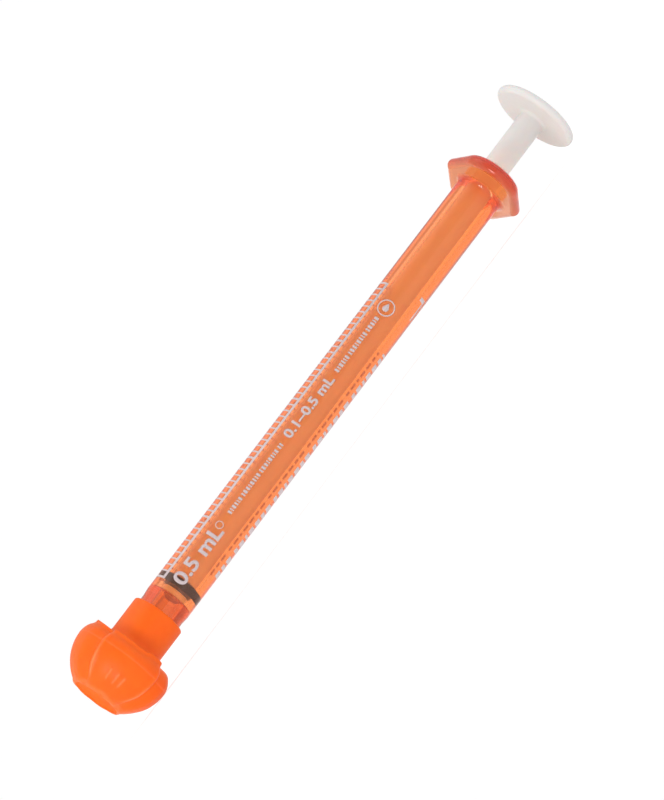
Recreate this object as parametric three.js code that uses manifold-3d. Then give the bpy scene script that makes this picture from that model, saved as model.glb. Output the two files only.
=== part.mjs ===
// Oral syringe, 0.5 mL, with its push-on tip cap. Millimetres, +Z up.
// The syringe lies along X: the cap's nose at low X, the thumb disc at high X, and the finger flange's
// wings along Y. The origin is under the middle of the length, level with the cap's lowest side.
// Every station is a distance along the axis from the cap's nose. Profiles are [station, radius] points.
import * as THREE from "three";
import { mergeVertices } from "three/addons/utils/BufferGeometryUtils.js";
import Module from "manifold-3d";

// Tip cap: a collar and a head, which is a ball cut flat at the nose and rounded off at the back
const CAP_HEAD_R = 6.1;
const CAP_HEAD_CENTRE = 5.05;
const CAP_BACK_EDGE_R = 3.0;
const CAP_SHOULDER = 7.5;
const CAP_COLLAR_R = 3.34;
const CAP_RIM = 12.2;
const CAP_RIM_CHAMFER = 0.25;
const CAP_LOBES = 4;
const CAP_LOBE_TURN = THREE.MathUtils.degToRad(8);
const CAP_VALLEY_DEPTH = 0.45;
const CAP_VALLEY_SHARPNESS = 6;
const CAP_CLEARANCE = 0.04;

// Barrel: a tube with a floor, a passage through the floor and a slip tip
const BARREL_R = 2.9;
const BARREL_END_R = 2.8;
const BARREL_STEP = 13.35;
const BARREL_SHOULDER = 10.5;
const BORE_R = 1.89;
const BORE_FLOOR = 14.6;
const PASSAGE_R = 1.14;
const TIP_ROOT_R = 1.95;
const TIP_R = 1.8;
const TIP_END = 4.3;
const OUTLET_R = 0.85;
const BARREL_CHAMFER = 0.2;

// Finger flange: a lozenge with blunt corners at its sides and a round end on each wing
const FLANGE_NEAR = 76.87;
const FLANGE_THICKNESS = 1.56;
const FLANGE_EDGE = 0.6;
const FLANGE_HALF_WIDTH = 5.22;
const FLANGE_HALF_LENGTH = 8.29;
const FLANGE_END_R = 3.78;
const FLANGE_FILLET = 0.7;

// Plunger rod with its thumb disc, and the ring in its groove
const ROD_R = 1.66;
const ROD_NOSE_GAP = 0.05;
const RING_FRONT = 15.5;
const RING_WIDTH = 1.45;
const RING_OUTER_R = 1.87;
const RING_INNER_R = 1.15;
const RING_GAP = 0.04;
const DISC_NEAR = 88.22;
const DISC_THICKNESS = 1.1;
const DISC_R = 5.44;
const DISC_FILLET = 0.5;

const TURNED_SIDES = 48;
const CAP_SIDES = 96;
const ARC_STEPS = 5;
const DOME_STEPS = 9;

const FLANGE_FAR = FLANGE_NEAR + FLANGE_THICKNESS;
const DISC_FAR = DISC_NEAR + DISC_THICKNESS;
const LENGTH = DISC_FAR;
const AXIS_HEIGHT = CAP_HEAD_R;

const wasm = await Module();
wasm.setup();

// Points on an arc around [station, radius], between two angles in degrees. Angle 0 faces high X.
function arc([station, radius], arcRadius, from, to, steps = ARC_STEPS) {
  const points = [];
  for (let i = 0; i <= steps; i += 1) {
    const angle = THREE.MathUtils.degToRad(from + ((to - from) * i) / steps);
    points.push([station + arcRadius * Math.cos(angle), radius + arcRadius * Math.sin(angle)]);
  }
  return points;
}

// Keeps only the positions and merges those that coincide, so that the surface is closed.
function welded(geometry) {
  geometry.deleteAttribute("normal");
  geometry.deleteAttribute("uv");
  return mergeVertices(geometry, 1e-5);
}

// A body turned about the X axis.
function turned(profile, sides = TURNED_SIDES) {
  const points = profile.map(([station, radius]) => new THREE.Vector2(radius, station));
  const geometry = new THREE.LatheGeometry(points, sides);
  geometry.rotateZ(-Math.PI / 2);
  return welded(geometry);
}

function toSolid(geometry) {
  return new wasm.Manifold(new wasm.Mesh({
    numProp: 3,
    vertProperties: new Float32Array(geometry.attributes.position.array),
    triVerts: new Uint32Array(geometry.index.array),
  }));
}

function toGeometry(manifold) {
  const mesh = manifold.getMesh();
  const geometry = new THREE.BufferGeometry();
  geometry.setAttribute("position", new THREE.BufferAttribute(mesh.vertProperties, 3));
  geometry.setIndex(new THREE.BufferAttribute(mesh.triVerts, 1));
  return geometry;
}

function namedPart(name, geometry, color, roughness) {
  geometry.computeVertexNormals();
  const material = new THREE.MeshStandardMaterial({ color, roughness, metalness: 0 });
  const mesh = new THREE.Mesh(geometry, material);
  mesh.name = name;
  return mesh;
}

// The cap's outside, then its wide bore for the barrel's end and its blind socket for the tip.
function capProfile() {
  const noseAngle = THREE.MathUtils.radToDeg(Math.acos(CAP_HEAD_CENTRE / CAP_HEAD_R));
  const backAngle = THREE.MathUtils.radToDeg(
    Math.acos((CAP_SHOULDER - CAP_HEAD_CENTRE) / CAP_BACK_EDGE_R),
  );
  const dome = arc([CAP_HEAD_CENTRE, 0], CAP_HEAD_R, 180 - noseAngle, 90, DOME_STEPS);
  const back = arc([CAP_HEAD_CENTRE, CAP_HEAD_R - CAP_BACK_EDGE_R], CAP_BACK_EDGE_R, 90, backAngle);
  const endBoreFloor = BARREL_SHOULDER - CAP_CLEARANCE;
  const socketFloor = TIP_END - CAP_CLEARANCE;
  return [
    [0, 0],
    ...dome,
    ...back.slice(1),
    [CAP_SHOULDER, CAP_COLLAR_R],
    [CAP_RIM - CAP_RIM_CHAMFER, CAP_COLLAR_R],
    [CAP_RIM, CAP_COLLAR_R - CAP_RIM_CHAMFER],
    [CAP_RIM, BARREL_END_R + CAP_CLEARANCE],
    [endBoreFloor, BARREL_END_R + CAP_CLEARANCE],
    [endBoreFloor, TIP_ROOT_R + CAP_CLEARANCE],
    [socketFloor, TIP_R + CAP_CLEARANCE],
    [socketFloor, 0],
  ];
}

// Presses the valleys between the lobes into the head, deepest where the head is widest.
function withValleys(geometry) {
  const position = geometry.attributes.position;
  const noseR = Math.sqrt(CAP_HEAD_R ** 2 - CAP_HEAD_CENTRE ** 2);
  for (let i = 0; i < position.count; i += 1) {
    const [x, y, z] = [position.getX(i), position.getY(i), position.getZ(i)];
    const radius = Math.hypot(y, z);
    const depthShare = (radius - noseR) / (CAP_HEAD_R - noseR);
    if (depthShare > 0 && x < CAP_SHOULDER + CAP_CLEARANCE) {
      const angle = Math.atan2(z, -y) + CAP_LOBE_TURN;
      const inValley = Math.abs(Math.sin((CAP_LOBES * angle) / 2)) ** CAP_VALLEY_SHARPNESS;
      const scale = 1 - (CAP_VALLEY_DEPTH * inValley * Math.sqrt(depthShare)) / radius;
      position.setXYZ(i, x, y * scale, z * scale);
    }
  }
  return geometry;
}

function tipCap() {
  return withValleys(turned(capProfile(), CAP_SIDES));
}

// The flange's outline, drawn in by an inset: x runs along the wings and y across.
function flangeOutline(inset) {
  const endCentre = FLANGE_HALF_LENGTH - FLANGE_END_R;
  const cornerDistance = Math.hypot(endCentre, FLANGE_HALF_WIDTH);
  const cornerAngle = Math.atan2(FLANGE_HALF_WIDTH, -endCentre);
  const touchAngle = cornerAngle - Math.acos(FLANGE_END_R / cornerDistance);
  const corner = FLANGE_HALF_WIDTH - inset / Math.sin(touchAngle);
  const shape = new THREE.Shape();
  shape.moveTo(0, -corner);
  shape.absarc(endCentre, 0, FLANGE_END_R - inset, -touchAngle, touchAngle, false);
  shape.lineTo(0, corner);
  shape.absarc(-endCentre, 0, FLANGE_END_R - inset, Math.PI - touchAngle, Math.PI + touchAngle, false);
  shape.lineTo(0, -corner);
  return shape;
}

// The flange as a plate across the axis, with rounded edges.
function flangePlate() {
  const geometry = new THREE.ExtrudeGeometry(flangeOutline(FLANGE_EDGE), {
    depth: FLANGE_THICKNESS - 2 * FLANGE_EDGE,
    bevelThickness: FLANGE_EDGE,
    bevelSize: FLANGE_EDGE,
    bevelSegments: 3,
    curveSegments: 12,
  });
  const toAxis = new THREE.Matrix4().makeBasis(
    new THREE.Vector3(0, 1, 0),
    new THREE.Vector3(0, 0, 1),
    new THREE.Vector3(1, 0, 0),
  );
  geometry.applyMatrix4(toAxis);
  geometry.translate(FLANGE_NEAR + FLANGE_EDGE, 0, 0);
  return welded(geometry);
}

function barrel() {
  const filletCentre = [FLANGE_NEAR - FLANGE_FILLET, BARREL_R + FLANGE_FILLET];
  const flangeMiddle = (FLANGE_NEAR + FLANGE_FAR) / 2;
  const outside = turned([
    [TIP_END, 0],
    [TIP_END, TIP_R - BARREL_CHAMFER],
    [TIP_END + BARREL_CHAMFER, TIP_R],
    [BARREL_SHOULDER, TIP_ROOT_R],
    [BARREL_SHOULDER, BARREL_END_R - BARREL_CHAMFER],
    [BARREL_SHOULDER + BARREL_CHAMFER, BARREL_END_R],
    [BARREL_STEP, BARREL_END_R],
    [BARREL_STEP + BARREL_CHAMFER, BARREL_R],
    ...arc(filletCentre, FLANGE_FILLET, -90, 0),
    [flangeMiddle, BARREL_R + FLANGE_FILLET],
    [flangeMiddle, 0],
  ]);
  const beyondTip = TIP_END - 1;
  const inside = turned([
    [beyondTip, 0],
    [beyondTip, OUTLET_R],
    [TIP_END, OUTLET_R],
    [BARREL_SHOULDER, PASSAGE_R],
    [BORE_FLOOR, PASSAGE_R],
    [BORE_FLOOR, BORE_R],
    [FLANGE_FAR - BARREL_CHAMFER, BORE_R],
    [FLANGE_FAR + BARREL_CHAMFER, BORE_R + 2 * BARREL_CHAMFER],
    [FLANGE_FAR + BARREL_CHAMFER, 0],
  ]);
  return toGeometry(toSolid(outside).add(toSolid(flangePlate())).subtract(toSolid(inside)));
}

function plungerRod() {
  const noseStart = BORE_FLOOR + ROD_NOSE_GAP;
  const grooveStart = RING_FRONT - RING_GAP;
  const grooveEnd = RING_FRONT + RING_WIDTH + RING_GAP;
  const grooveR = RING_INNER_R - RING_GAP;
  const filletCentre = [DISC_NEAR - DISC_FILLET, ROD_R + DISC_FILLET];
  const rimCentre = [DISC_NEAR + DISC_THICKNESS / 2, DISC_R - DISC_THICKNESS / 2];
  return turned([
    [noseStart, 0],
    [noseStart, ROD_R - BARREL_CHAMFER],
    [noseStart + BARREL_CHAMFER, ROD_R],
    [grooveStart, ROD_R],
    [grooveStart, grooveR],
    [grooveEnd, grooveR],
    [grooveEnd, ROD_R],
    ...arc(filletCentre, DISC_FILLET, -90, 0),
    ...arc(rimCentre, DISC_THICKNESS / 2, 180, 0),
    [DISC_FAR, 0],
  ]);
}

function sealRing() {
  const middleR = (RING_OUTER_R + RING_INNER_R) / 2;
  const edge = (RING_OUTER_R - RING_INNER_R) / 2;
  const front = arc([RING_FRONT + edge, middleR], edge, 270, 90);
  const back = arc([RING_FRONT + RING_WIDTH - edge, middleR], edge, 90, -90);
  return turned([...front, ...back, front[0]]);
}

const syringe = new THREE.Group();
syringe.add(namedPart("barrel", barrel(), 0xe0733a, 0.25));
syringe.add(namedPart("plunger_rod", plungerRod(), 0xe6e3e0, 0.35));
syringe.add(namedPart("seal_ring", sealRing(), 0x1c1a19, 0.5));
syringe.add(namedPart("tip_cap", tipCap(), 0xff6a1e, 0.5));
syringe.position.set(-LENGTH / 2, 0, AXIS_HEIGHT);
syringe.updateMatrixWorld(true);

export default syringe;
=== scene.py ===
"""Oral syringe, 0.5 mL, with its tip cap: the looks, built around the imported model. Metres.

The syringe lies along X. Shapes are drawn in millimetres as [station, radius] points: a station is a
distance along the axis from the cap's nose. An angle around the axis is 0 at the front, which faces
low Y, and grows towards the top.
"""
import itertools
import math

import bmesh
import bpy
import numpy as np
from mathutils import Matrix, Vector


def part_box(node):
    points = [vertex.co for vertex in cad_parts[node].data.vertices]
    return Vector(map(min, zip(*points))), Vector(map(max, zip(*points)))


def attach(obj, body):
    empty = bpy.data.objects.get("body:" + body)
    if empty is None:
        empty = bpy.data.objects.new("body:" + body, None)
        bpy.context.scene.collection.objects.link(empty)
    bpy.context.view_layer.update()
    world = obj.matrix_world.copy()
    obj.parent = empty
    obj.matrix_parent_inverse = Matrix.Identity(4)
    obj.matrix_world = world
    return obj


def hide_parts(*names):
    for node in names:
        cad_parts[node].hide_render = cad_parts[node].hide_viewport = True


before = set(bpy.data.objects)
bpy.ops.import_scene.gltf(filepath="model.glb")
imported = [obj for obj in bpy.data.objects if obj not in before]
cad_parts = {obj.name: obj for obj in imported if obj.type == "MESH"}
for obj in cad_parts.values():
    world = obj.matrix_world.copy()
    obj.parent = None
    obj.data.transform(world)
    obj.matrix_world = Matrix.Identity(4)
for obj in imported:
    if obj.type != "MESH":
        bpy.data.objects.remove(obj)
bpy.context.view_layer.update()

MM = 0.001

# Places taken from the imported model
NOSE_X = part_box("tip_cap")[0].x
RING_LOW, RING_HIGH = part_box("seal_ring")
AXIS_Z = (RING_LOW.z + RING_HIGH.z) / 2


def station_of(x):
    return (x - NOSE_X) / MM


CAP_RIM = station_of(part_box("tip_cap")[1].x)
CAP_HEAD_R = (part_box("tip_cap")[1].z - AXIS_Z) / MM
RING_FRONT = station_of(RING_LOW.x)
RING_BACK = station_of(RING_HIGH.x)
TIP_END = station_of(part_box("barrel")[0].x)
FLANGE_FAR = station_of(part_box("barrel")[1].x)
FLANGE_HALF_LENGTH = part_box("barrel")[1].y / MM
FLANGE_HALF_WIDTH = (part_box("barrel")[1].z - AXIS_Z) / MM
ROD_NOSE = station_of(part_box("plunger_rod")[0].x)
DISC_FAR = station_of(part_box("plunger_rod")[1].x)
DISC_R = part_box("plunger_rod")[1].y / MM

# Sizes in millimetres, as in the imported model
CAP_HEAD_CENTRE = 5.05
CAP_SHOULDER = 7.5
CAP_COLLAR_R = 3.34
CAP_CLEARANCE = 0.04
BARREL_R = 2.9
BARREL_END_R = 2.8
BARREL_STEP = 13.35
BARREL_SHOULDER = 10.5
BORE_R = 1.89
BORE_FLOOR = 14.6
PASSAGE_R = 1.14
TIP_ROOT_R = 1.95
TIP_R = 1.8
OUTLET_R = 0.85
FLANGE_THICKNESS = 1.56
FLANGE_END_R = 3.78
FLANGE_CORNER_R = 1.2
FLANGE_FILLET = 0.7
ROD_R = 1.66
RING_INNER_R = 1.15
RING_GAP = 0.04
ROD_LEAN = 0.21
DISC_THICKNESS = 1.1
DISC_FILLET = 0.5

ZERO_LINE = 15.75
SCALE_LENGTH = 44.5

SIDES = 240


# ---------------------------------------------------------------- shapes

def arc(centre, radius, start, end, steps=8):
    """Points on an arc, between two angles in degrees. Angle 0 faces high X."""
    angles = np.radians(np.linspace(start, end, steps + 1))
    return [(centre[0] + radius * math.cos(a), centre[1] + radius * math.sin(a)) for a in angles]


def eased(corners, support=0.03):
    """A profile from (station, radius, edge radius) corners, each rounded by its edge radius.
    Points close before and after each edge keep the faces between the edges flat when shaded."""
    count = len(corners)
    points = []
    for i, (x, r, edge) in enumerate(corners):
        here = Vector((x, r))
        before = Vector(corners[i - 1][:2]) - here
        after = Vector(corners[(i + 1) % count][:2]) - here
        if edge == 0:
            points.append((x, r))
            continue
        u, v = before.normalized(), after.normalized()
        half = u.angle(v) / 2
        cut = edge / math.tan(half)
        middle = here + (u + v).normalized() * (edge / math.sin(half))
        first, last = here + u * cut, here + v * cut
        if before.length > cut + 2 * support:
            points.append(tuple(first + u * support))
        a0 = math.atan2(first.y - middle.y, first.x - middle.x)
        a1 = math.atan2(last.y - middle.y, last.x - middle.x)
        turn = (a1 - a0 + math.pi) % (2 * math.pi) - math.pi
        steps = 5
        for k in range(steps + 1):
            a = a0 + turn * k / steps
            points.append((middle.x + edge * math.cos(a), middle.y + edge * math.sin(a)))
        if after.length > cut + 2 * support:
            points.append(tuple(last + v * support))
    return points


def place(station, radius, angle):
    """A point around the axis, in metres. Works on numbers and on arrays."""
    return (
        NOSE_X + station * MM,
        -radius * np.cos(angle) * MM,
        AXIS_Z + radius * np.sin(angle) * MM,
    )


def skin(name, station, radius, angle, closed):
    """A mesh from arrays of stations, radii and angles, one row for each profile point and one column
    for each direction. A closed profile joins its last row to its first, and an open one starts and
    ends on the axis."""
    rows, columns = radius.shape
    mesh = bmesh.new()
    grid = []
    for i in range(rows):
        if not closed and i in (0, rows - 1):
            centre = mesh.verts.new(place(float(station[i, 0]), 0.0, 0.0))
            grid.append([centre] * columns)
        else:
            x, y, z = place(station[i], radius[i], angle[i])
            grid.append([mesh.verts.new((x[j], y[j], z[j])) for j in range(columns)])
    for i in range(rows if closed else rows - 1):
        low, high = grid[i], grid[(i + 1) % rows]
        for j in range(columns):
            k = (j + 1) % columns
            corners = list(dict.fromkeys([low[j], low[k], high[k], high[j]]))
            mesh.faces.new(corners)
    bmesh.ops.recalc_face_normals(mesh, faces=mesh.faces)
    return finished(name, mesh)


def finished(name, mesh):
    """Turns a bmesh into an object with smooth shading."""
    data = bpy.data.meshes.new(name)
    mesh.to_mesh(data)
    mesh.free()
    data.shade_smooth()
    piece = bpy.data.objects.new(name, data)
    bpy.context.scene.collection.objects.link(piece)
    return piece


def turned(name, profile, closed=True, sides=SIDES):
    """A body turned about the axis."""
    points = np.array(profile)
    angle = np.tile(np.linspace(0, 2 * math.pi, sides, endpoint=False), (len(points), 1))
    station = np.tile(points[:, :1], (1, sides))
    radius = np.tile(points[:, 1:], (1, sides))
    return skin(name, station, radius, angle, closed)


# ---------------------------------------------------------------- materials

class Nodes:
    """A material's node tree, built from the shader backwards."""

    def __init__(self, name):
        self.material = bpy.data.materials.new(name)
        self.material.use_nodes = True
        self.tree = self.material.node_tree
        self.shader = self.tree.nodes["Principled BSDF"]
        self.output = self.tree.nodes["Material Output"]
        self.place = self.add("ShaderNodeTexCoord").outputs["Object"]

    def add(self, kind, **values):
        node = self.tree.nodes.new(kind)
        for key, value in values.items():
            if key in node.inputs:
                node.inputs[key].default_value = value
            else:
                setattr(node, key, value)
        return node

    def link(self, source, target):
        self.tree.links.new(source, target)

    def constants(self, **values):
        for key, value in values.items():
            self.shader.inputs[key.replace("_", " ")].default_value = value

    def stretched(self, scale):
        """The object's coordinates, scaled differently along each axis."""
        node = self.add("ShaderNodeMapping", Scale=scale)
        self.link(self.place, node.inputs["Vector"])
        return node.outputs["Vector"]

    def noise(self, scale, detail=3.0, roughness=0.5):
        node = self.add("ShaderNodeTexNoise", Scale=1.0, Detail=detail, Roughness=roughness)
        self.link(self.stretched(scale), node.inputs["Vector"])
        return node.outputs["Fac"]

    def along(self, point):
        """How far along X a point lies, in metres."""
        node = self.add("ShaderNodeSeparateXYZ")
        self.link(point, node.inputs["Vector"])
        return node.outputs["X"]

    def total(self, first, second):
        node = self.add("ShaderNodeMath", operation="ADD")
        self.link(first, node.inputs[0])
        self.link(second, node.inputs[1])
        return node.outputs["Value"]

    def mapped(self, value, start, end, low=0.0, high=1.0):
        """Turns the range from start to end into the range from low to high, and holds the ends."""
        node = self.add("ShaderNodeMapRange")
        node.inputs["From Min"].default_value = start
        node.inputs["From Max"].default_value = end
        node.inputs["To Min"].default_value = low
        node.inputs["To Max"].default_value = high
        self.link(value, node.inputs["Value"])
        return node.outputs["Result"]

    def ranged(self, value, low, high):
        """Turns a noise, which mostly lies between 0.3 and 0.7, into the range from low to high."""
        return self.mapped(value, 0.3, 0.7, low, high)

    def blend(self, value, first, second):
        """A colour between two, by a noise or another value that is ranged like one."""
        node = self.add("ShaderNodeMix", data_type="RGBA")
        self.link(self.ranged(value, 0.0, 1.0), node.inputs["Factor"])
        colours = [socket for socket in node.inputs if socket.type == "RGBA"]
        colours[0].default_value = (*first, 1)
        colours[1].default_value = (*second, 1)
        return next(o for o in node.outputs if o.type == "RGBA")

    def tinted(self, share, colour, tint):
        """A linked colour, turned towards a tint where the share is high."""
        node = self.add("ShaderNodeMix", data_type="RGBA")
        self.link(share, node.inputs["Factor"])
        colours = [socket for socket in node.inputs if socket.type == "RGBA"]
        self.link(colour, colours[0])
        colours[1].default_value = (*tint, 1)
        return next(o for o in node.outputs if o.type == "RGBA")

    def bump(self, *layers):
        """Stacks bumps. Each layer is a value and its height in metres."""
        normal = None
        for value, height in layers:
            node = self.add("ShaderNodeBump", Strength=1.0, Distance=height)
            self.link(value, node.inputs["Height"])
            if normal is not None:
                self.link(normal, node.inputs["Normal"])
            normal = node.outputs["Normal"]
        self.link(normal, self.shader.inputs["Normal"])


def fine(x, y=None, z=None):
    """A noise scale from feature sizes in millimetres along X, Y and Z."""
    y = x if y is None else y
    z = y if z is None else z
    return (1 / (x * MM), 1 / (y * MM), 1 / (z * MM))


def clear_orange():
    """Clear tinted plastic: most of the colour comes from the depth of plastic that light passes, and
    a faint painted glow stands in for the light that haze in the plastic scatters. The solid end in
    front of the bore's floor has painted shade, a darker colour for the shade beside the cap, and
    the flange's far face is frosted."""
    m = Nodes("clear_orange_plastic")
    # The faint glow is painted light, standing in for the light that haze in the plastic scatters.
    m.constants(
        Transmission_Weight=0.985, IOR=1.49, Specular_IOR_Level=0.45,
        Emission_Color=(1.0, 0.22, 0.03, 1), Emission_Strength=0.05)
    x = m.along(m.place)
    bore_floor_x = NOSE_X + BORE_FLOOR * MM
    unshaded_hollow = m.mapped(x, bore_floor_x - 0.3 * MM, bore_floor_x)
    # Painted shade: the solid end in front of the bore's floor is darker, for the shade beside the
    # cap.
    m.link(m.blend(unshaded_hollow, (0.84, 0.66, 0.48), (1.0, 0.88, 0.7)), m.shader.inputs["Base Color"])
    far_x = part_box("barrel")[1].x
    frost = m.mapped(x, far_x - 0.2 * MM, far_x - 0.02 * MM, high=0.55)
    drawn = m.ranged(m.noise(fine(6, 0.8)), 0.02, 0.07)
    m.link(m.total(drawn, frost), m.shader.inputs["Roughness"])
    m.bump((m.noise(fine(9, 0.9), 2.0), 0.002 * MM), (m.noise(fine(0.5), 2.0), 0.0004 * MM))
    depth = m.add("ShaderNodeVolumeAbsorption", Color=(0.965, 0.545, 0.07, 1), Density=1000.0)
    m.link(depth.outputs["Volume"], m.output.inputs["Volume"])
    return m.material


# Where along X the rod's painted light starts to fall off, and where its plain white begins
ROD_PAINTED_LIGHT_UNTIL = 0.030
ROD_PLAIN_FROM = 0.042


def white_plastic():
    """White, with painted light where the rod stands in the barrel: a brighter white that stands in
    for the light it gets there through the plastic. The change goes by where a point is, so a rod that
    is drawn out of the barrel looks the same all along."""
    m = Nodes("white_plastic")
    position = m.add("ShaderNodeNewGeometry").outputs["Position"]
    outside = m.mapped(m.along(position), ROD_PAINTED_LIGHT_UNTIL, ROD_PLAIN_FROM)
    speckle = m.add("ShaderNodeMath", operation="MULTIPLY_ADD")
    speckle.inputs[1].default_value = 0.15
    m.link(m.noise(fine(4, 1.2)), speckle.inputs[0])
    m.link(outside, speckle.inputs[2])
    # The ramp runs from the painted light inside the barrel to the rod's plain white.
    tint = m.add("ShaderNodeValToRGB")
    tint.color_ramp.elements[0].color = (0.95, 0.93, 0.92, 1)
    tint.color_ramp.elements[1].color = (0.66, 0.645, 0.63, 1)
    m.link(speckle.outputs["Value"], tint.inputs["Fac"])
    m.link(tint.outputs["Color"], m.shader.inputs["Base Color"])
    m.constants(Subsurface_Weight=0.25, Subsurface_Scale=0.6 * MM, IOR=1.49, Specular_IOR_Level=0.3)
    m.link(m.ranged(m.noise(fine(0.6)), 0.3, 0.45), m.shader.inputs["Roughness"])
    m.bump((m.noise(fine(0.25)), 0.0035 * MM), (m.noise(fine(5, 0.6), 2.0), 0.008 * MM))
    return m.material


def black_rubber():
    m = Nodes("black_rubber")
    m.constants(Specular_IOR_Level=0.08)
    colour = m.blend(m.noise(fine(0.3)), (0.008, 0.006, 0.005), (0.016, 0.012, 0.011))
    m.link(colour, m.shader.inputs["Base Color"])
    m.link(m.ranged(m.noise(fine(0.15)), 0.3, 0.5), m.shader.inputs["Roughness"])
    m.bump((m.noise(fine(0.12)), 0.004 * MM))
    return m.material


# Radii between which the cap's dull nose turns into its satin outside
NOSE_DULL_R = 2.95
NOSE_SATIN_R = 3.1


def cap_orange():
    """Opaque orange. The edges, ribs and parting line carry a painted highlight, a paler orange, and
    the dished face at the nose is duller than the rest."""
    m = Nodes("cap_orange_plastic")
    highlight_share = m.add("ShaderNodeAttribute", attribute_name="painted_edge_highlight").outputs["Fac"]
    orange = m.blend(m.noise(fine(3.5), 4.0), (0.81, 0.107, 0.001), (0.85, 0.125, 0.002))
    # Painted highlight: a paler orange on the panel edges, ribs, parting line and nose lip.
    m.link(m.tinted(highlight_share, orange, (0.96, 0.2, 0.06)), m.shader.inputs["Base Color"])
    m.constants(
        Subsurface_Weight=0.3, Subsurface_Scale=0.8 * MM, Subsurface_Radius=(1.0, 0.3, 0.1),
        IOR=1.5, Specular_IOR_Level=0.23)
    across = m.add("ShaderNodeVectorMath", operation="DISTANCE")
    m.link(m.place, across.inputs[0])
    across.inputs[1].default_value = (NOSE_X + NOSE_RECESS * MM, 0, AXIS_Z)
    dull = m.mapped(across.outputs["Value"], NOSE_DULL_R * MM, NOSE_SATIN_R * MM, 0.35, 0.0)
    satin = m.ranged(m.noise(fine(0.8)), 0.4, 0.5)
    m.link(m.total(satin, dull), m.shader.inputs["Roughness"])
    m.bump((m.noise(fine(0.22)), 0.006 * MM), (m.noise(fine(1.6), 2.0), 0.01 * MM))
    return m.material


def white_ink():
    """A thin white film. A faint glow stands in for the light that gets through it, so that its back
    is pale too where it shows through the barrel."""
    m = Nodes("white_ink")
    colour = m.blend(m.noise(fine(0.12), 4.0), (0.27, 0.215, 0.22), (0.33, 0.275, 0.28))
    m.link(colour, m.shader.inputs["Base Color"])
    m.constants(
        Subsurface_Weight=0.8, Subsurface_Scale=0.012 * MM, Subsurface_Radius=(1.0, 1.0, 1.0), IOR=1.2,
        Emission_Color=(1.0, 0.88, 0.9, 1), Emission_Strength=0.32)
    m.link(m.ranged(m.noise(fine(0.3)), 0.7, 0.9), m.shader.inputs["Roughness"])
    m.bump((m.noise(fine(0.08)), 0.004 * MM))
    return m.material


# ---------------------------------------------------------------- tip cap

# Angles are in degrees around the axis, and other sizes in millimetres. The two lobes that face front
# and back are panels with rounded edges, and the other two slope evenly into the valleys.
LOBES = 4
LOBE_CENTRE = -5.9
HALF_LOBE = 45
PANEL_EDGE = 36.5
PANEL_EDGE_AT_NOSE = 33.0
PANEL_ROUNDING = 6.5
SIDE_LOBE_EDGE = 25.0
VALLEY_DEPTH = 0.48
SCALLOP_DEPTH = 0.2
NOSE_RECESS = 0.2
NOSE_DISH = 0.5
RIDGE_HEIGHT = 0.15
RIDGE_WIDTH = 2.6
# Where the painted highlight lies outward of each panel edge, and how wide it is
PANEL_HIGHLIGHT_OUTWARD = 1.0
PANEL_HIGHLIGHT_WIDTH = 2.2
RIB_ANGLES = (5.3, -5.7, -14.5)
RIB_HEIGHT = 0.07
RIB_WIDTH = 1.6
SEAM_R = 6.1
SEAM_HEIGHT = 0.015
SEAM_MIDDLE = 5.07
# Width of the painted highlight on the parting line
SEAM_HIGHLIGHT_WIDTH = 0.09
# Where the painted highlight round the nose's lip lies, and how wide it is
NOSE_LIP_R = 3.35
NOSE_LIP_WIDTH = 0.22
LIP_TURN = 4

# Where the back of the head ends, at angles around the axis
SHOULDER_AT = [
    (-96, 7.5), (-80, 7.3), (-65, 7.08), (-52, 7.0), (-45, 7.22), (-38, 7.3), (-24, 7.22), (-17, 6.95),
    (-6, 6.9), (20, 6.98), (33, 7.03), (38, 6.8), (60, 7.02), (75, 7.25), (90, 7.5), (102, 7.5),
    (125, 7.2), (174, 7.3), (220, 7.3), (264, 7.5),
]

# The back of the head as (station, radius) for a shoulder at 7.5: with a lip, and rounded off
LIPPED_BACK = [
    (5.4, 6.08), (5.8, 6.0), (6.2, 5.86), (6.55, 5.67), (6.85, 5.43), (7.1, 5.31), (7.38, 5.28),
    (7.46, 5.25), (7.5, 5.18), (7.5, 4.8), (7.5, 4.3), (7.5, 3.8), (7.5, 3.5), (7.53, 3.39),
]
ROUND_BACK = [
    (5.4, 6.08), (5.8, 5.99), (6.2, 5.83), (6.6, 5.6), (6.95, 5.34), (7.12, 5.14), (7.24, 4.92),
    (7.31, 4.7), (7.35, 4.5), (7.39, 4.25), (7.43, 4.0), (7.48, 3.75), (7.54, 3.5), (7.6, 3.39),
]


def smooth_step(value, low, high):
    """Rises smoothly from 0 at low to 1 at high."""
    t = np.clip((value - low) / (high - low), 0, 1)
    return t * t * (3 - 2 * t)


def bell(distance, width):
    """A smooth bump of height 1 that fades over a width."""
    return np.exp(-(distance / width) ** 2)


def off_centre(degrees, centre, period=360.0):
    """How far an angle lies from a centre that repeats, signed."""
    return (degrees - centre + period / 2) % period - period / 2


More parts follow.
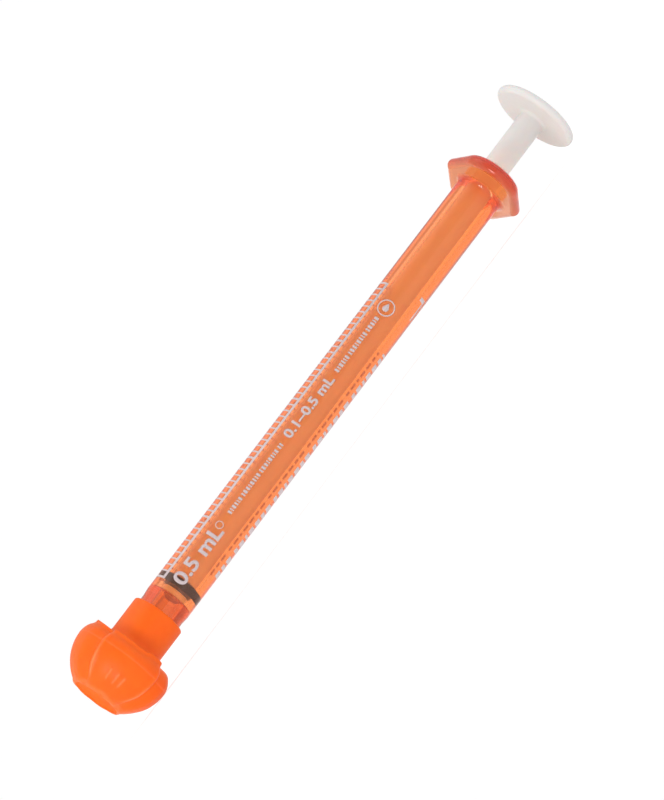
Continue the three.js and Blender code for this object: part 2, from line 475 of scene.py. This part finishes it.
def tip_cap():
    """The head is a ball cut off at the nose. Four lobes meet in narrow valleys. The share of painted
    highlight on the edges, ribs, parting line and nose lip is kept on the mesh as a point attribute."""
    nose = [
        (NOSE_DISH, 0), (NOSE_DISH - 0.03, 0.9), (NOSE_DISH - 0.12, 1.7), (NOSE_DISH - 0.22, 2.35),
        (NOSE_RECESS, 2.72), (NOSE_RECESS - 0.03, 2.84), (0.1, 2.96), (0.03, 3.05), (0, 3.14),
        (0, 3.2), (0.03, 3.3), (0.1, 3.4), (0.22, 3.51), (0.38, 3.63),
    ]
    start = math.asin(nose[-1][1] / CAP_HEAD_R)
    squash = (CAP_HEAD_CENTRE - nose[-1][0]) / (CAP_HEAD_R * math.cos(start))
    dome = [
        (CAP_HEAD_CENTRE + (x - CAP_HEAD_CENTRE) * squash, r)
        for x, r in arc((CAP_HEAD_CENTRE, 0), CAP_HEAD_R, 180 - math.degrees(start), 91.5, 44)[1:]
    ]
    seam = [
        (4.98, SEAM_R), (5.03, SEAM_R + SEAM_HEIGHT), (5.1, SEAM_R + SEAM_HEIGHT), (5.15, SEAM_R),
    ]
    end_bore_floor = BARREL_SHOULDER - CAP_CLEARANCE
    socket_floor = TIP_END - CAP_CLEARANCE
    collar = eased([
        (7.6, CAP_COLLAR_R, 0), (CAP_RIM, CAP_COLLAR_R, 0.2),
        (CAP_RIM, BARREL_END_R + CAP_CLEARANCE, 0.08),
        (end_bore_floor, BARREL_END_R + CAP_CLEARANCE, 0.05),
        (end_bore_floor, TIP_ROOT_R + CAP_CLEARANCE, 0.05),
        (socket_floor, TIP_R + CAP_CLEARANCE, 0.05), (socket_floor, 0, 0),
    ])
    collar = [(7.72, CAP_COLLAR_R)] + collar[1:]

    sides = 480
    around = np.linspace(-180, 180, sides, endpoint=False)
    head = nose + dome + seam

    at, ends = zip(*SHOULDER_AT)
    shoulder = np.interp((around - at[0]) % 360 + at[0], at, ends)
    reach = ((shoulder - CAP_HEAD_CENTRE) / (CAP_SHOULDER - CAP_HEAD_CENTRE))[None, :]
    inside_low_lobe = HALF_LOBE - np.abs(off_centre(around, LOBE_CENTRE - 90))
    lipped = 1 - smooth_step(inside_low_lobe, -LIP_TURN, LIP_TURN)[None, :]
    lip, rounded = np.array(LIPPED_BACK), np.array(ROUND_BACK)
    back_station = lip[:, :1] * lipped + rounded[:, :1] * (1 - lipped)
    back_station = CAP_HEAD_CENTRE + (back_station - CAP_HEAD_CENTRE) * reach
    back_radius = lip[:, 1:] * lipped + rounded[:, 1:] * (1 - lipped)

    def even(points):
        values = np.array(points)
        return np.tile(values[:, :1], (1, sides)), np.tile(values[:, 1:], (1, sides))

    head_station, head_radius = even(head)
    collar_station, collar_radius = even(collar)
    outer_station = np.vstack([head_station, back_station])
    outer_radius = np.vstack([head_radius, back_radius])

    from_lobe = np.abs(off_centre(around, LOBE_CENTRE, 360 / LOBES))[None, :]
    panel = (np.abs(off_centre(around, LOBE_CENTRE, 180)) < HALF_LOBE)[None, :]
    widening = PANEL_EDGE - PANEL_EDGE_AT_NOSE
    edge = PANEL_EDGE_AT_NOSE + widening * smooth_step(outer_station, 0.3, 2.5)
    over = np.clip((from_lobe - edge) / PANEL_ROUNDING, 0, 1)
    slope = smooth_step(from_lobe, SIDE_LOBE_EDGE, HALF_LOBE)
    groove = np.where(panel, 1 - np.sqrt(1 - over ** 2), slope)
    depth = VALLEY_DEPTH * smooth_step(outer_radius, 3.3, 5.2)
    depth = np.where(outer_station > 6, VALLEY_DEPTH * smooth_step(outer_radius, 3.4, 4.6), depth)
    scallop = (0.5 + 0.5 * np.cos(2 * LOBES * np.radians(around - LOBE_CENTRE)))[None, :] ** 1.5
    scallop = SCALLOP_DEPTH * scallop * smooth_step(outer_radius, 2.5, 3.1)
    scallop = scallop * (1 - smooth_step(outer_station, 0.3, 2.6))
    ridge = panel * bell(from_lobe - edge, RIDGE_WIDTH) * smooth_step(outer_station, 0.5, 2.0)
    ridge = ridge * (1 - smooth_step(outer_station, 5.5, 6.6))
    ribs = sum(bell(around - a, RIB_WIDTH) for a in RIB_ANGLES)[None, :]
    ribs = ribs * smooth_step(outer_station, 1.4, 1.8) * (1 - smooth_step(outer_station, 2.7, 3.1))
    outer_radius = outer_radius - depth * groove - scallop + RIB_HEIGHT * ribs + RIDGE_HEIGHT * ridge

    station = np.vstack([outer_station, collar_station])
    radius = np.vstack([outer_radius, collar_radius])
    angle = np.tile(np.radians(around), (len(station), 1))
    cap = skin("tip_cap_fluted", station, radius, angle, closed=False)

    # Painted highlight along the panel edges, on the ribs, the parting line and the nose's lip; the
    # shape stays as it is
    panel_edge_highlight = panel * bell(from_lobe - edge - PANEL_HIGHLIGHT_OUTWARD, PANEL_HIGHLIGHT_WIDTH)
    panel_edge_highlight = panel_edge_highlight * smooth_step(outer_station, 0.6, 1.6)
    panel_edge_highlight = panel_edge_highlight * (1 - 0.75 * smooth_step(outer_station, 2.6, 4.6))
    panel_edge_highlight = panel_edge_highlight * (1 - smooth_step(outer_station, 6.4, 7))
    parting = 0.35 * bell(outer_station - SEAM_MIDDLE, SEAM_HIGHLIGHT_WIDTH) * (outer_radius > 5)
    nose_lip = 0.5 * bell(outer_radius - NOSE_LIP_R, NOSE_LIP_WIDTH) * (outer_station < 0.6)
    highlight_share = np.clip(np.maximum(np.maximum(panel_edge_highlight, 0.6 * ribs), parting + nose_lip), 0, 1)
    on_collar = np.zeros(sides * (len(collar) - 1) + 1)
    values = np.concatenate([[0], highlight_share[1:].ravel(), on_collar])
    highlight_attribute = cap.data.attributes.new("painted_edge_highlight", "FLOAT", "POINT")
    highlight_attribute.data.foreach_set("value", values)
    return cap


# ---------------------------------------------------------------- barrel

OUTLINE_SAMPLES = 14401


def flange_outline(inset, angles):
    """Radius and outward normal of the flange's outline, drawn in by an inset, at each angle. The
    outline is the tight loop around two end circles and two small corner circles."""
    end_x = FLANGE_HALF_LENGTH - FLANGE_END_R
    corner_y = FLANGE_HALF_WIDTH - FLANGE_CORNER_R
    circles = [
        ((end_x, 0), FLANGE_END_R), ((0, corner_y), FLANGE_CORNER_R),
        ((-end_x, 0), FLANGE_END_R), ((0, -corner_y), FLANGE_CORNER_R),
    ]
    normals = np.linspace(-math.pi, 3 * math.pi, OUTLINE_SAMPLES)
    out = np.stack([np.cos(normals), np.sin(normals)], 1)
    owner = np.array([out @ np.array(c) + r for c, r in circles]).argmax(0)
    centres = np.array([c for c, _ in circles])[owner]
    sizes = np.array([r for _, r in circles])[owner] - inset
    points = centres + out * sizes[:, None]
    around = np.unwrap(np.arctan2(points[:, 1], points[:, 0]))
    near = np.clip(np.searchsorted(around, angles), 1, len(around) - 1)
    first, last = points[near - 1], points[near]
    step = last - first
    ahead = np.stack([np.cos(angles), np.sin(angles)], 1)
    radius = (first[:, 0] * step[:, 1] - first[:, 1] * step[:, 0]) / (
        ahead[:, 0] * step[:, 1] - ahead[:, 1] * step[:, 0])
    return radius, np.interp(angles, around, normals)


def flange_angles():
    """Directions around the barrel, closer together at the flange's top and bottom corners."""
    even = np.radians(np.arange(0, 360, 1.5))
    corners = [np.radians(np.arange(middle - 9, middle + 9.1, 0.5)) for middle in (90, 270)]
    return np.unique(np.round(np.concatenate([even, *corners]), 6))


def barrel():
    """Tube, tip and finger flange in one skin. Each column of the skin runs from the tip along the
    outside to the flange's edge, around it, and back through the bore."""
    angles = flange_angles()
    sides = len(angles)
    near = FLANGE_FAR - FLANGE_THICKNESS
    rim = FLANGE_THICKNESS / 2
    outside = eased([
        (TIP_END, 1.2, 0), (TIP_END, TIP_R, 0.15), (BARREL_SHOULDER, TIP_ROOT_R, 0.15),
        (BARREL_SHOULDER, BARREL_END_R, 0.12), (BARREL_STEP - 0.4, BARREL_END_R, 1.5),
        (BARREL_STEP + 0.6, BARREL_R, 1.5), (near - FLANGE_FILLET, BARREL_R, 0),
    ])[1:]
    fillet = arc((near - FLANGE_FILLET, BARREL_R + FLANGE_FILLET), FLANGE_FILLET, -90, 0, 10)[1:]
    bore = eased([
        (FLANGE_FAR, 2.6, 0), (FLANGE_FAR, BORE_R + 0.12, 0.08), (FLANGE_FAR - 0.2, BORE_R, 0.1),
        (BORE_FLOOR, BORE_R, 0.12), (BORE_FLOOR, PASSAGE_R, 0.08),
        (BARREL_SHOULDER, PASSAGE_R, 0.3), (TIP_END, OUTLET_R, 0.08), (TIP_END, 1.2, 0),
    ])[1:]
    inset_radius, normal = flange_outline(rim, angles)
    columns_x, columns_y = inset_radius * np.cos(angles), inset_radius * np.sin(angles)

    def ring(station, radius):
        return np.full(sides, station), np.full(sides, radius), angles

    def edge(turn):
        """The round edge: turn 180 faces the near side and 0 the far side."""
        x = columns_x + rim * math.sin(turn) * np.cos(normal)
        y = columns_y + rim * math.sin(turn) * np.sin(normal)
        return np.full(sides, near + rim + rim * math.cos(turn)), np.hypot(x, y), np.arctan2(y, x)

    def face(station, inner, share):
        return np.full(sides, station), inner + (inset_radius - inner) * share, angles

    rows = [ring(x, r) for x, r in outside + fillet]
    inner = BARREL_R + FLANGE_FILLET
    rows += [face(near, inner, share) for share in (0.02, 0.5, 0.98)]
    rows += [edge(math.radians(turn)) for turn in np.linspace(180, 0, 17)]
    rows += [face(FLANGE_FAR, 2.6, share) for share in (0.98, 0.5, 0)]
    rows += [ring(x, r) for x, r in bore]
    station, radius, angle = (np.array(values) for values in zip(*rows))
    return skin("barrel_moulding", station, radius, angle, closed=True)


# ---------------------------------------------------------------- plunger

RING_SQUEEZE = 0.004


def seal_ring():
    """Reaches a few micrometres into the bore's wall, so that it shows black through the barrel."""
    outer = BORE_R + RING_SQUEEZE
    profile = eased([
        (RING_FRONT, RING_INNER_R, 0.12), (RING_FRONT, outer, 0.3),
        (RING_BACK, outer, 0.12), (RING_BACK, RING_INNER_R, 0.12),
    ])
    return turned("seal_ring_soft", profile)


def plunger_rod():
    """The rod leans in the bore, and more so towards the disc."""
    near = DISC_FAR - DISC_THICKNESS
    groove_front, groove_back = RING_FRONT - RING_GAP, RING_BACK + RING_GAP
    groove = RING_INNER_R - RING_GAP
    shaft = eased([
        (ROD_NOSE, 0, 0), (ROD_NOSE, ROD_R - 0.05, 0.15), (groove_front, ROD_R - 0.05, 0.05),
        (groove_front, groove, 0.04), (groove_back, groove, 0.04), (groove_back, ROD_R, 0.08),
        (near - DISC_FILLET, ROD_R, 0),
    ])
    fillet = arc((near - DISC_FILLET, ROD_R + DISC_FILLET), DISC_FILLET, -90, 0, 8)[1:]
    rim = DISC_THICKNESS / 2
    face = [(near, ROD_R + DISC_FILLET + 0.05), (near, DISC_R - rim - 0.05)]
    edge = arc((near + rim, DISC_R - rim), rim, 180, 0, 14)
    back = [(DISC_FAR, DISC_R - rim - 0.05), (DISC_FAR, DISC_R / 2), (DISC_FAR, 0)]
    rod = turned("plunger_rod_moulding", shaft + fillet + face + edge + back, closed=False)
    for v in rod.data.vertices:
        along = max(0.0, station_of(v.co.x) - RING_BACK)
        v.co.z += ROD_LEAN * MM * along / (FLANGE_FAR - RING_BACK)
    return rod


# ---------------------------------------------------------------- printing

INK_LIFT = 0.004
INK_DEPTH = 0.012
MERGE = 1e-5


def wrapped(name, outline_mesh, step=0.12):
    """Lays a flat mesh on the barrel: its X is a station and its Y a length around the barrel. It is
    cut into narrow strips first, so that it follows the round, and then given the ink's depth."""
    low = min(v.co.y for v in outline_mesh.verts)
    high = max(v.co.y for v in outline_mesh.verts)
    for cut in np.arange(low + step, high - step / 4, step):
        geometry = outline_mesh.verts[:] + outline_mesh.edges[:] + outline_mesh.faces[:]
        bmesh.ops.bisect_plane(
            outline_mesh, geom=geometry, plane_co=(0, cut, 0), plane_no=(0, 1, 0), dist=1e-6)
    for v in outline_mesh.verts:
        v.co = place(v.co.x, BARREL_R + INK_LIFT, v.co.y / BARREL_R)
    piece = finished(name, outline_mesh)
    thick = piece.modifiers.new("depth", "SOLIDIFY")
    thick.thickness = INK_DEPTH * MM
    thick.offset = 1.0
    return piece


def flat_polygons(polygons):
    """A flat mesh with one face for each polygon. Polygons that touch share their corners."""
    mesh = bmesh.new()
    for corners in polygons:
        mesh.faces.new([mesh.verts.new((x, y, 0)) for x, y in corners])
    bmesh.ops.remove_doubles(mesh, verts=mesh.verts, dist=MERGE)
    return mesh


def block(x0, x1, y0, y1):
    """The corners of a rectangle."""
    return [(x0, y0), (x1, y0), (x1, y1), (x0, y1)]


def around(degrees):
    """Length around the barrel to an angle from the front."""
    return math.radians(degrees) * BARREL_R


DIVISIONS = 50
DIVISION = SCALE_LENGTH / DIVISIONS
SCALE_BAR = (44.5, 52.0)
BAR_OVERHANG = 0.12
TICK_HALF_WIDTH = 0.105
TICK_END = 97
LONG_TICK_HALF_WIDTH = 0.14
LONG_TICK_END = 112
TICK_GAP = 0.001


def scale_marks():
    """A bar along the barrel with a tick for each division, and a longer tick at every tenth one."""
    start, (bar_low, bar_high) = ZERO_LINE, map(around, SCALE_BAR)
    polygons = [block(start - BAR_OVERHANG, start + SCALE_LENGTH + BAR_OVERHANG, bar_low, bar_high)]
    for i in range(DIVISIONS + 1):
        tenth = i % 10 == 0
        half = LONG_TICK_HALF_WIDTH if tenth else TICK_HALF_WIDTH
        end = LONG_TICK_END if tenth else TICK_END
        x = start + i * DIVISION
        polygons.append(block(x - half, x + half, bar_high + TICK_GAP, around(end)))
    return wrapped("scale_marks", flat_polygons(polygons))


CAPITAL_HEIGHT = 0.73


def text_mesh(body, height, bold):
    """Flat numerals and letters as a bmesh, with their middle at Y 0. The font's size is larger than
    its capitals are high."""
    curve = bpy.data.curves.new("letters", "FONT")
    curve.body = body
    curve.size = height / CAPITAL_HEIGHT
    curve.offset = bold
    curve.resolution_u = 4
    holder = bpy.data.objects.new("letters", curve)
    bpy.context.scene.collection.objects.link(holder)
    bpy.context.view_layer.update()
    data = holder.to_mesh()
    mesh = bmesh.new()
    mesh.from_mesh(data)
    holder.to_mesh_clear()
    bpy.data.objects.remove(holder)
    bpy.data.curves.remove(curve)
    bmesh.ops.remove_doubles(mesh, verts=mesh.verts, dist=MERGE)
    for v in mesh.verts:
        v.co.y -= height / 2
    return mesh


def lettering(name, body, x, angle, height, bold, stretch=1.0, align="left"):
    """Numerals and units on the barrel, read along it. The stretch widens them."""
    mesh = text_mesh(body, height, bold)
    xs = [v.co.x for v in mesh.verts]
    width = max(xs) - min(xs)
    shift = -min(xs) - (width / 2 if align == "middle" else 0)
    for v in mesh.verts:
        v.co = Vector((x + stretch * (v.co.x + shift), around(angle) + v.co.y, 0))
    return wrapped(name, mesh)


def bars(name, start, end, angle, height, widths, gap):
    """A generic row of short bars that fills a line of print. A width of 0 leaves a wider gap."""
    polygons = []
    low = around(angle) - height / 2
    x = start
    for width in itertools.cycle(widths):
        if x >= end:
            break
        if width > 0:
            polygons.append(block(x, min(x + width, end), low, low + height))
        x += width + gap
    return wrapped(name, flat_polygons(polygons))


def round_mark(name, x, angle, radius, stroke, drop=False):
    """A ring, with a drop inside it when asked."""
    turns = [2 * math.pi * i / 40 for i in range(41)]
    y = around(angle)

    def rim(r, turn):
        return (x + r * math.cos(turn), y + r * math.sin(turn))

    polygons = [
        [rim(radius, a), rim(radius, b), rim(radius - stroke, b), rim(radius - stroke, a)]
        for a, b in zip(turns, turns[1:])
    ]
    if drop:
        belly = radius * 0.36
        outline = [
            (x - radius * 0.12 + belly * math.cos(a), y + belly * math.sin(a))
            for a in np.radians(np.arange(50, 311, 20))
        ]
        polygons.append([(x + radius * 0.62, y)] + outline)
    return wrapped(name, flat_polygons(polygons))


SMALL_PRINT = (0.3, 0.16, 0.34, 0.22, 0.16, 0.3, 0, 0.22, 0.34)
EDGE_PRINT = (0.85, 0.6, 0.85, 0, 0.6, 0.85, 0.4, 0.85)


def printing():
    """The scale, its numerals, and generic marks where the barrel carries other lines of print."""
    pieces = [scale_marks()]
    for tenth in range(1, 6):
        pieces.append(lettering(
            f"numeral_{tenth}", f"0.{tenth}", x=ZERO_LINE + 10 * tenth * DIVISION, angle=127,
            height=1.15, bold=0.02, align="middle"))
    pieces.append(lettering(
        "unit_mark", "mL", x=ZERO_LINE + SCALE_LENGTH + 1.2, angle=127, height=1.15, bold=0.02))
    pieces.append(lettering(
        "volume_mark", "0.5 mL", x=16.0, angle=12, height=1.75, bold=0.07, stretch=1.22))
    pieces.append(round_mark("round_mark", x=24.5, angle=14, radius=0.5, stroke=0.1))
    pieces.append(bars(
        "small_line_1", 26.3, 36.7, angle=12.5, height=0.55, widths=SMALL_PRINT, gap=0.17))
    pieces.append(lettering(
        "range_mark", "0.1\u20130.5 mL", x=37.75, angle=16, height=1.2, bold=0.055, stretch=1.22))
    pieces.append(bars(
        "small_line_2", 47.7, 56.0, angle=14, height=0.6, widths=SMALL_PRINT, gap=0.17))
    pieces.append(round_mark("drop_mark", x=57.55, angle=11, radius=1.08, stroke=0.15, drop=True))
    pieces.append(bars("edge_line", 19.6, 53.3, angle=-71, height=1.3, widths=EDGE_PRINT, gap=0.35))
    low, high, end = around(-66), around(-61), around(-45)
    pieces.append(wrapped("corner_mark", flat_polygons([
        [(58.5, low), (61.5, low), (61.5, end), (61.0, end), (61.0, high), (58.5, high)],
    ])))
    return pieces


# ---------------------------------------------------------------- assembly

def finish_piece(piece, material, body, slot, *nodes):
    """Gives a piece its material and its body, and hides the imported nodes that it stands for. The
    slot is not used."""
    piece.data.materials.append(material)
    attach(piece, body)
    if nodes:
        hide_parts(*nodes)


finish_piece(barrel(), clear_orange(), "barrel", "orange_clear_plastic", "barrel")
finish_piece(plunger_rod(), white_plastic(), "plunger", "white_plastic", "plunger_rod")
finish_piece(seal_ring(), black_rubber(), "seal_ring", "black_rubber", "seal_ring")
finish_piece(tip_cap(), cap_orange(), "tip_cap", "orange_cap_plastic", "tip_cap")
ink = white_ink()
for mark in printing():
    finish_piece(mark, ink, "barrel", "white_plastic")


# ---------------------------------------------------------------- floor, light, camera

FLOOR_HALF_SIZE = 0.45


def studio_floor():
    """A plain floor that glows a little, so that it is white and the shadow on it stays faint."""
    mesh = bmesh.new()
    bmesh.ops.create_grid(mesh, x_segments=4, y_segments=4, size=FLOOR_HALF_SIZE)
    floor = finished("studio_floor", mesh)
    m = Nodes("studio_white")
    colour = m.blend(m.noise(fine(20)), (0.45, 0.45, 0.45), (0.46, 0.46, 0.46))
    m.link(colour, m.shader.inputs["Base Color"])
    m.constants(Roughness=0.9, Emission_Color=(1, 1, 1, 1), Emission_Strength=0.56)
    floor.data.materials.append(m.material)


def soft_light(name, place_at, size, power):
    """A round soft light that points at the middle of the syringe."""
    lamp = bpy.data.lights.new(name, "AREA")
    lamp.shape = "DISK"
    lamp.size = size
    lamp.energy = power
    holder = bpy.data.objects.new(name, lamp)
    holder.location = place_at
    target = Vector((0, 0, AXIS_Z))
    holder.rotation_euler = (target - Vector(place_at)).to_track_quat("-Z", "Y").to_euler()
    bpy.context.scene.collection.objects.link(holder)


# The level way that the camera looks, and the surround's brightness by the cosine of the angle to it
LOOK = Vector((0.2536, 0.9673, 0))
SURROUND = [
    (-1, 0.6), (-0.75, 0.68), (-0.45, 1.08), (0, 1.25), (0.35, 0.92), (0.64, 1.02), (0.8, 0.62),
    (0.92, 0.58), (0.985, 1.01), (1, 1.01),
]


def studio_light():
    """A white surround, brightest above and at the sides, and two soft lights."""
    world = bpy.data.worlds.new("studio")
    bpy.context.scene.world = world
    world.use_nodes = True
    nodes, links = world.node_tree.nodes, world.node_tree.links
    direction = nodes.new("ShaderNodeTexCoord")
    facing = nodes.new("ShaderNodeVectorMath")
    facing.operation = "DOT_PRODUCT"
    facing.inputs[1].default_value = LOOK
    share = nodes.new("ShaderNodeMapRange")
    share.inputs["From Min"].default_value = -1
    ramp = nodes.new("ShaderNodeValToRGB")
    ramp.color_ramp.interpolation = "EASE"
    stops = ramp.color_ramp.elements
    while len(stops) < len(SURROUND):
        stops.new(0.5)
    for stop, (dot, level) in zip(stops, SURROUND):
        stop.position = (dot + 1) / 2
        stop.color = (level, level, level, 1)
    links.new(direction.outputs["Generated"], facing.inputs[0])
    links.new(facing.outputs["Value"], share.inputs["Value"])
    links.new(share.outputs["Result"], ramp.inputs["Fac"])
    links.new(ramp.outputs["Color"], nodes["Background"].inputs["Color"])
    soft_light("key_light", (-0.36, -0.34, 0.1), 0.2, 1.0)
    soft_light("top_light", (0.05, -0.1, 0.5), 0.4, 0.2)
    bpy.context.scene.view_settings.view_transform = "Standard"


CAMERA_EYE = Vector((NOSE_X - 0.092765, -0.52638, AXIS_Z))
CAMERA_AIM = Vector((NOSE_X + 0.045354, 0, AXIS_Z - 0.00094))
CAMERA_ROLL = math.radians(52.758)


def photo_camera():
    """Looks from the cap's side of the front, nearly level with the floor, with the syringe turned to
    run from low left to high right."""
    camera = bpy.data.cameras.new("photo_camera")
    camera.sensor_width = 36
    camera.lens = 207.67
    camera.clip_start = 0.01
    camera.clip_end = 20
    holder = bpy.data.objects.new("photo_camera", camera)
    back = (CAMERA_EYE - CAMERA_AIM).normalized()
    level = Vector((0, 0, 1)).cross(back).normalized()
    up = back.cross(level)
    right = level * math.cos(CAMERA_ROLL) - up * math.sin(CAMERA_ROLL)
    top = back.cross(right)
    turn = Matrix((right, top, back)).transposed().to_4x4()
    holder.matrix_world = Matrix.Translation(CAMERA_EYE) @ turn
    bpy.context.scene.collection.objects.link(holder)
    bpy.context.scene.camera = holder


studio_floor()
studio_light()
photo_camera()
